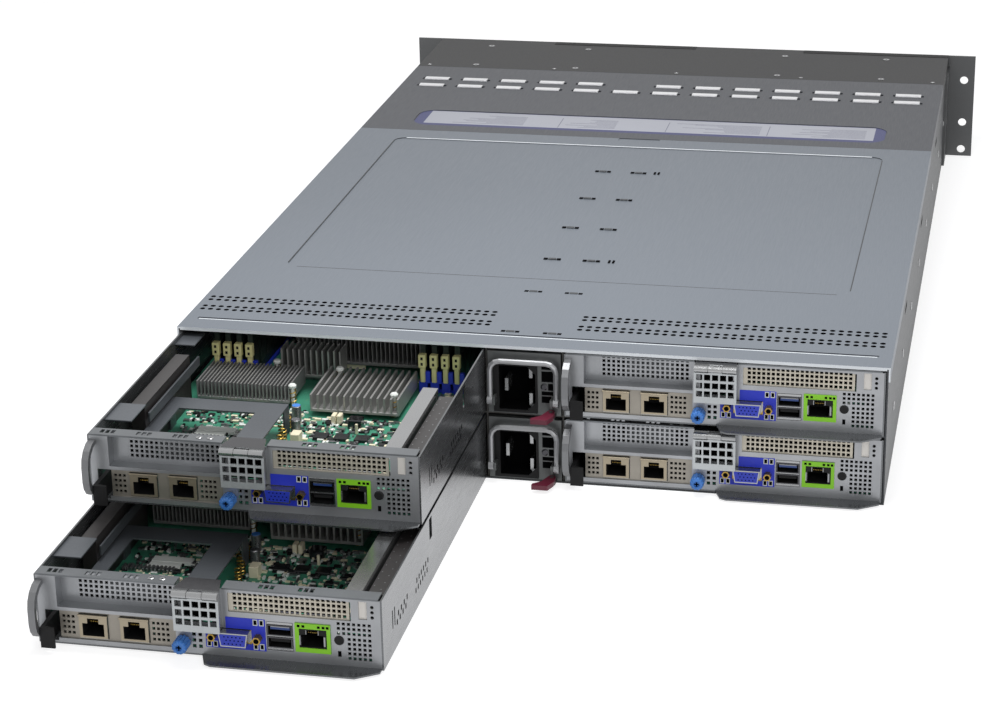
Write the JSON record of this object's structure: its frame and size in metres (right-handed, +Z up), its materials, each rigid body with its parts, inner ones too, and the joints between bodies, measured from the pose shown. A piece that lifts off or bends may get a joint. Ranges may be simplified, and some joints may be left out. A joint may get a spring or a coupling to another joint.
{
  "type": "two-unit rack server",
  "caption": "Low rack server chassis with sliding compute sleds, stacked power supplies with bail handles, perforated covers, front drive bays and rack ears.",
  "frame": {"origin": "centre of the chassis underside, at the middle of the body's width and depth", "axes": "+Z up; +Y out of the rear, where the sleds slide out; +X to the left of someone who looks at the rear"},
  "size_m": [0.4826, 0.999, 0.0888],
  "materials": {
    "cover_steel": "satin",
    "chassis_steel": "satin",
    "front_plate_steel": "satin",
    "panel_steel": "satin",
    "flap_steel": "satin",
    "circuit_board": "satin",
    "heat_sink": "satin",
    "black_plastic": "matte",
    "blue_plastic": "matte",
    "burgundy_plastic": "matte",
    "bail_wire": "polished",
    "supply_case": "satin",
    "drive_metal": "satin"
  },
  "bodies": {
    "chassis": {"chassis_tub": "chassis_steel", "rear_cover": "cover_steel", "fan_cover": "cover_steel", "drive_cage": "front_plate_steel", "psu_cage": "chassis_steel", "drive_backplane": "circuit_board", "power_board": "circuit_board", "fan_frames": "black_plastic", "rack_ear_left": "chassis_steel", "rack_ear_right": "chassis_steel"},
    "sled_upper_left": {"sled_upper_left_tray": "panel_steel", "sled_upper_left_panel": "panel_steel", "sled_upper_left_main_board": "circuit_board", "sled_upper_left_heatsinks": "heat_sink"},
    "flap_upper_left": {"sled_upper_left_flap": "flap_steel"},
    "lever_upper_left": {"sled_upper_left_release_lever": "black_plastic"},
    "thumbscrew_upper_left": {"sled_upper_left_thumbscrew": "blue_plastic"},
    "sled_lower_left": {"sled_lower_left_tray": "panel_steel", "sled_lower_left_panel": "panel_steel", "sled_lower_left_main_board": "circuit_board", "sled_lower_left_heatsinks": "heat_sink"},
    "flap_lower_left": {"sled_lower_left_flap": "flap_steel"},
    "lever_lower_left": {"sled_lower_left_release_lever": "black_plastic"},
    "thumbscrew_lower_left": {"sled_lower_left_thumbscrew": "blue_plastic"},
    "sled_upper_right": {"sled_upper_right_tray": "panel_steel", "sled_upper_right_panel": "panel_steel", "sled_upper_right_main_board": "circuit_board", "sled_upper_right_heatsinks": "heat_sink"},
    "flap_upper_right": {"sled_upper_right_flap": "flap_steel"},
    "lever_upper_right": {"sled_upper_right_release_lever": "black_plastic"},
    "thumbscrew_upper_right": {"sled_upper_right_thumbscrew": "blue_plastic"},
    "sled_lower_right": {"sled_lower_right_tray": "panel_steel", "sled_lower_right_panel": "panel_steel", "sled_lower_right_main_board": "circuit_board", "sled_lower_right_heatsinks": "heat_sink"},
    "flap_lower_right": {"sled_lower_right_flap": "flap_steel"},
    "lever_lower_right": {"sled_lower_right_release_lever": "black_plastic"},
    "thumbscrew_lower_right": {"sled_lower_right_thumbscrew": "blue_plastic"},
    "power_supply_lower": {"psu_lower_case": "supply_case"},
    "bail_lower": {"psu_lower_bail": "bail_wire"},
    "latch_lower": {"psu_lower_latch": "burgundy_plastic"},
    "power_supply_upper": {"psu_upper_case": "supply_case"},
    "bail_upper": {"psu_upper_bail": "bail_wire"},
    "latch_upper": {"psu_upper_latch": "burgundy_plastic"},
    "rotor_1": {"fan_rotor_1": "black_plastic"},
    "rotor_2": {"fan_rotor_2": "black_plastic"},
    "rotor_3": {"fan_rotor_3": "black_plastic"},
    "rotor_4": {"fan_rotor_4": "black_plastic"},
    "drive_1a": {"drive_1a": "drive_metal"},
    "drive_1b": {"drive_1b": "drive_metal"},
    "drive_1c": {"drive_1c": "drive_metal"},
    "drive_2a": {"drive_2a": "drive_metal"},
    "drive_2b": {"drive_2b": "drive_metal"},
    "drive_2c": {"drive_2c": "drive_metal"},
    "drive_3a": {"drive_3a": "drive_metal"},
    "drive_3b": {"drive_3b": "drive_metal"},
    "drive_3c": {"drive_3c": "drive_metal"},
    "drive_4a": {"drive_4a": "drive_metal"},
    "drive_4b": {"drive_4b": "drive_metal"},
    "drive_4c": {"drive_4c": "drive_metal"}
  },
  "joints": [
    {"name": "sled_upper_left_slide", "type": "slide", "parent": "chassis", "child": "sled_upper_left", "axis": [0, 1, 0], "range_m": [-0.165, 0.26]},
    {"name": "flap_upper_left_hinge", "type": "hinge", "parent": "sled_upper_left", "child": "flap_upper_left", "pos_m": [0.12425, 0.5365, 0.0831], "axis": [1, 0, 0], "range_deg": [0, 90]},
    {"name": "lever_upper_left_hinge", "type": "hinge", "parent": "sled_upper_left", "child": "lever_upper_left", "pos_m": [0.2103, 0.508, 0.0524], "axis": [0, 0, 1], "range_deg": [0, 6], "stiffness_Nm_per_rad": 1.5, "springref_deg": -5.73},
    {"name": "thumbscrew_upper_left_turn", "type": "hinge", "parent": "sled_upper_left", "child": "thumbscrew_upper_left", "pos_m": [0.1345, 0.53, 0.052], "axis": [0, 1, 0], "continuous": true},
    {"name": "sled_lower_left_slide", "type": "slide", "parent": "chassis", "child": "sled_lower_left", "axis": [0, 1, 0], "range_m": [-0.255, 0.17]},
    {"name": "flap_lower_left_hinge", "type": "hinge", "parent": "sled_lower_left", "child": "flap_lower_left", "pos_m": [0.12425, 0.6265, 0.04], "axis": [1, 0, 0], "range_deg": [0, 90]},
    {"name": "lever_lower_left_hinge", "type": "hinge", "parent": "sled_lower_left", "child": "lever_lower_left", "pos_m": [0.2103, 0.598, 0.0093], "axis": [0, 0, 1], "range_deg": [0, 6], "stiffness_Nm_per_rad": 1.5, "springref_deg": -5.73},
    {"name": "thumbscrew_lower_left_turn", "type": "hinge", "parent": "sled_lower_left", "child": "thumbscrew_lower_left", "pos_m": [0.1345, 0.62, 0.0089], "axis": [0, 1, 0], "continuous": true},
    {"name": "sled_upper_right_slide", "type": "slide", "parent": "chassis", "child": "sled_upper_right", "axis": [0, 1, 0], "range_m": [0, 0.425]},
    {"name": "flap_upper_right_hinge", "type": "hinge", "parent": "sled_upper_right", "child": "flap_upper_right", "pos_m": [-0.11675, 0.3715, 0.0831], "axis": [1, 0, 0], "range_deg": [0, 90]},
    {"name": "lever_upper_right_hinge", "type": "hinge", "parent": "sled_upper_right", "child": "lever_upper_right", "pos_m": [-0.0307, 0.343, 0.0524], "axis": [0, 0, 1], "range_deg": [0, 6], "stiffness_Nm_per_rad": 1.5, "springref_deg": -5.73},
    {"name": "thumbscrew_upper_right_turn", "type": "hinge", "parent": "sled_upper_right", "child": "thumbscrew_upper_right", "pos_m": [-0.1065, 0.365, 0.052], "axis": [0, 1, 0], "continuous": true},
    {"name": "sled_lower_right_slide", "type": "slide", "parent": "chassis", "child": "sled_lower_right", "axis": [0, 1, 0], "range_m": [0, 0.425]},
    {"name": "flap_lower_right_hinge", "type": "hinge", "parent": "sled_lower_right", "child": "flap_lower_right", "pos_m": [-0.11675, 0.3715, 0.04], "axis": [1, 0, 0], "range_deg": [0, 90]},
    {"name": "lever_lower_right_hinge", "type": "hinge", "parent": "sled_lower_right", "child": "lever_lower_right", "pos_m": [-0.0307, 0.343, 0.0093], "axis": [0, 0, 1], "range_deg": [0, 6], "stiffness_Nm_per_rad": 1.5, "springref_deg": -5.73},
    {"name": "thumbscrew_lower_right_turn", "type": "hinge", "parent": "sled_lower_right", "child": "thumbscrew_lower_right", "pos_m": [-0.1065, 0.365, 0.0089], "axis": [0, 1, 0], "continuous": true},
    {"name": "psu_lower_slide", "type": "slide", "parent": "chassis", "child": "power_supply_lower", "axis": [0, 1, 0], "range_m": [0, 0.3]},
    {"name": "bail_lower_hinge", "type": "hinge", "parent": "power_supply_lower", "child": "bail_lower", "pos_m": [0, 0.37, 0.0113], "axis": [-1, 0, 0], "range_deg": [0, 95]},
    {"name": "latch_lower_hinge", "type": "hinge", "parent": "power_supply_lower", "child": "latch_lower", "pos_m": [-0.017, 0.3695, 0.0041], "axis": [0, 0, -1], "range_deg": [0, 12], "stiffness_Nm_per_rad": 1, "springref_deg": -5.73},
    {"name": "psu_upper_slide", "type": "slide", "parent": "chassis", "child": "power_supply_upper", "axis": [0, 1, 0], "range_m": [0, 0.3]},
    {"name": "bail_upper_hinge", "type": "hinge", "parent": "power_supply_upper", "child": "bail_upper", "pos_m": [0, 0.37, 0.0544], "axis": [-1, 0, 0], "range_deg": [0, 95]},
    {"name": "latch_upper_hinge", "type": "hinge", "parent": "power_supply_upper", "child": "latch_upper", "pos_m": [-0.017, 0.3695, 0.0472], "axis": [0, 0, -1], "range_deg": [0, 12], "stiffness_Nm_per_rad": 1, "springref_deg": -5.73},
    {"name": "rotor_1_spin", "type": "hinge", "parent": "chassis", "child": "rotor_1", "pos_m": [-0.168, -0.179, 0.041], "axis": [0, 1, 0], "continuous": true},
    {"name": "rotor_2_spin", "type": "hinge", "parent": "chassis", "child": "rotor_2", "pos_m": [-0.072, -0.179, 0.041], "axis": [0, 1, 0], "continuous": true},
    {"name": "rotor_3_spin", "type": "hinge", "parent": "chassis", "child": "rotor_3", "pos_m": [0.072, -0.179, 0.041], "axis": [0, 1, 0], "continuous": true},
    {"name": "rotor_4_spin", "type": "hinge", "parent": "chassis", "child": "rotor_4", "pos_m": [0.168, -0.179, 0.041], "axis": [0, 1, 0], "continuous": true},
    {"name": "drive_1a_slide", "type": "slide", "parent": "chassis", "child": "drive_1a", "axis": [0, -1, 0], "range_m": [0, 0.15]},
    {"name": "drive_1b_slide", "type": "slide", "parent": "chassis", "child": "drive_1b", "axis": [0, -1, 0], "range_m": [0, 0.15]},
    {"name": "drive_1c_slide", "type": "slide", "parent": "chassis", "child": "drive_1c", "axis": [0, -1, 0], "range_m": [0, 0.15]},
    {"name": "drive_2a_slide", "type": "slide", "parent": "chassis", "child": "drive_2a", "axis": [0, -1, 0], "range_m": [0, 0.15]},
    {"name": "drive_2b_slide", "type": "slide", "parent": "chassis", "child": "drive_2b", "axis": [0, -1, 0], "range_m": [0, 0.15]},
    {"name": "drive_2c_slide", "type": "slide", "parent": "chassis", "child": "drive_2c", "axis": [0, -1, 0], "range_m": [0, 0.15]},
    {"name": "drive_3a_slide", "type": "slide", "parent": "chassis", "child": "drive_3a", "axis": [0, -1, 0], "range_m": [0, 0.15]},
    {"name": "drive_3b_slide", "type": "slide", "parent": "chassis", "child": "drive_3b", "axis": [0, -1, 0], "range_m": [0, 0.15]},
    {"name": "drive_3c_slide", "type": "slide", "parent": "chassis", "child": "drive_3c", "axis": [0, -1, 0], "range_m": [0, 0.15]},
    {"name": "drive_4a_slide", "type": "slide", "parent": "chassis", "child": "drive_4a", "axis": [0, -1, 0], "range_m": [0, 0.15]},
    {"name": "drive_4b_slide", "type": "slide", "parent": "chassis", "child": "drive_4b", "axis": [0, -1, 0], "range_m": [0, 0.15]},
    {"name": "drive_4c_slide", "type": "slide", "parent": "chassis", "child": "drive_4c", "axis": [0, -1, 0], "range_m": [0, 0.15]}
  ]
}
